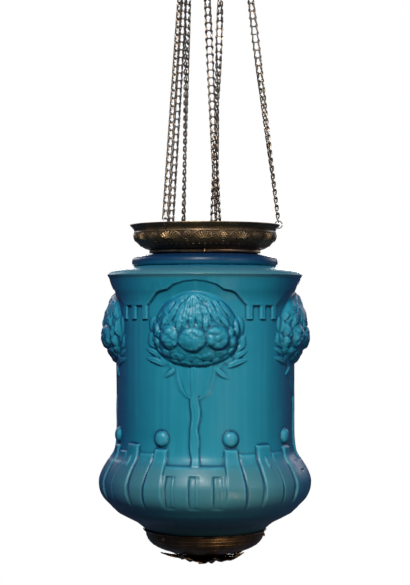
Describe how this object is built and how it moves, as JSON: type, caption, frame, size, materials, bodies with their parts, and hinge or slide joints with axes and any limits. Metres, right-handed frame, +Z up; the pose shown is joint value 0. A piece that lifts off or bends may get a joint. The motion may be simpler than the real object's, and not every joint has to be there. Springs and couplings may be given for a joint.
{
  "type": "hanging glass hall lantern",
  "caption": "Rise-and-fall hall lantern: embossed blue glass shade in a brass gallery and cup, on ladder chains over ceiling pulleys with an oil lamp inside.",
  "frame": {"origin": "middle of the ceiling plate's flat top face, where the lantern hangs from the ceiling", "axes": "+Z up along the lantern's axis, -Y towards the picture's viewer, +X to that viewer's right"},
  "size_m": [0.2694, 0.2694, 0.7788],
  "materials": {
    "dark_brass": "dark patina, worn to brass on the edges",
    "chain_bronze": "dull brown patina",
    "worn_brass": "worn coppery brass",
    "blue_glass": "satin blue glass with pressed relief",
    "clear_glass": "clear blown glass",
    "cotton": "woven cotton wick"
  },
  "bodies": {
    "ceiling_fitting": {"ceiling_plate": "dark_brass", "pulley_fork_1": "dark_brass", "pulley_fork_2": "dark_brass", "pulley_fork_3": "dark_brass", "pulley_pin_1": "worn_brass", "pulley_pin_2": "worn_brass", "pulley_pin_3": "worn_brass", "chain_over_pulley_1": "chain_bronze", "chain_over_pulley_2": "chain_bronze", "chain_over_pulley_3": "chain_bronze"},
    "lantern": {"gallery_bowl": "dark_brass", "gallery_collar": "worn_brass", "gallery_screw_1": "worn_brass", "gallery_screw_2": "worn_brass", "gallery_screw_3": "worn_brass", "glass_shade": "blue_glass", "bottom_cup": "dark_brass", "cup_screw_1": "worn_brass", "cup_screw_2": "worn_brass", "cup_screw_3": "worn_brass", "leaf_rosette": "dark_brass", "finial_bolt": "worn_brass", "finial_nut": "worn_brass", "rim_ring_1": "chain_bronze", "rim_ring_2": "chain_bronze", "rim_ring_3": "chain_bronze", "outer_chain_1": "chain_bronze", "outer_chain_2": "chain_bronze", "outer_chain_3": "chain_bronze"},
    "oil_lamp": {"lamp_carrier": "dark_brass", "oil_font": "worn_brass", "burner": "worn_brass", "lamp_chimney": "clear_glass", "lamp_ring_1": "chain_bronze", "lamp_ring_2": "chain_bronze", "lamp_ring_3": "chain_bronze", "inner_chain_1": "chain_bronze", "inner_chain_2": "chain_bronze", "inner_chain_3": "chain_bronze"},
    "pulley_1": {"pulley_wheel_1": "worn_brass"},
    "pulley_2": {"pulley_wheel_2": "worn_brass"},
    "pulley_3": {"pulley_wheel_3": "worn_brass"},
    "wick_knob": {"wick_knob": "worn_brass"},
    "wick": {"wick": "cotton"}
  },
  "joints": [
    {"name": "lantern_lowering", "type": "slide", "parent": "ceiling_fitting", "child": "lantern", "axis": [0, 0, -1], "range_m": [0, 0.11], "deforming": ["outer_chain_1", "outer_chain_2", "outer_chain_3"]},
    {"name": "lamp_lifting", "type": "slide", "parent": "ceiling_fitting", "child": "oil_lamp", "axis": [0, 0, 1], "range_m": [0, 0.11], "deforming": ["inner_chain_1", "inner_chain_2", "inner_chain_3"]},
    {"name": "pulley_1_turn", "type": "hinge", "parent": "ceiling_fitting", "child": "pulley_1", "pos_m": [0.03711, 0.00602, -0.03], "axis": [0.3907, 0.9205, 0], "range_deg": [0, 360]},
    {"name": "pulley_2_turn", "type": "hinge", "parent": "ceiling_fitting", "child": "pulley_2", "pos_m": [-0.02377, 0.02913, -0.03], "axis": [-0.9925, -0.1219, 0], "range_deg": [0, 360]},
    {"name": "pulley_3_turn", "type": "hinge", "parent": "ceiling_fitting", "child": "pulley_3", "pos_m": [-0.01334, -0.03515, -0.03], "axis": [0.6018, -0.7986, 0], "range_deg": [0, 360]},
    {"name": "wick_knob_turn", "type": "hinge", "parent": "oil_lamp", "child": "wick_knob", "pos_m": [0.0001, 0.0056, -0.5967], "axis": [-0.9998, 0.0175, 0], "range_deg": [0, 170]},
    {"name": "wick_rise", "type": "slide", "parent": "oil_lamp", "child": "wick", "axis": [0, 0, 1], "range_m": [0, 0.012]}
  ],
  "couplings": [
    {"joint": "lamp_lifting", "follows": "lantern_lowering", "ratio": 1},
    {"joint": "pulley_1_turn", "follows": "lantern_lowering", "rad_per_m": 56.18},
    {"joint": "pulley_2_turn", "follows": "lantern_lowering", "rad_per_m": 56.18},
    {"joint": "pulley_3_turn", "follows": "lantern_lowering", "rad_per_m": 56.18},
    {"joint": "wick_rise", "follows": "wick_knob_turn", "m_per_rad": 0.004}
  ]
}
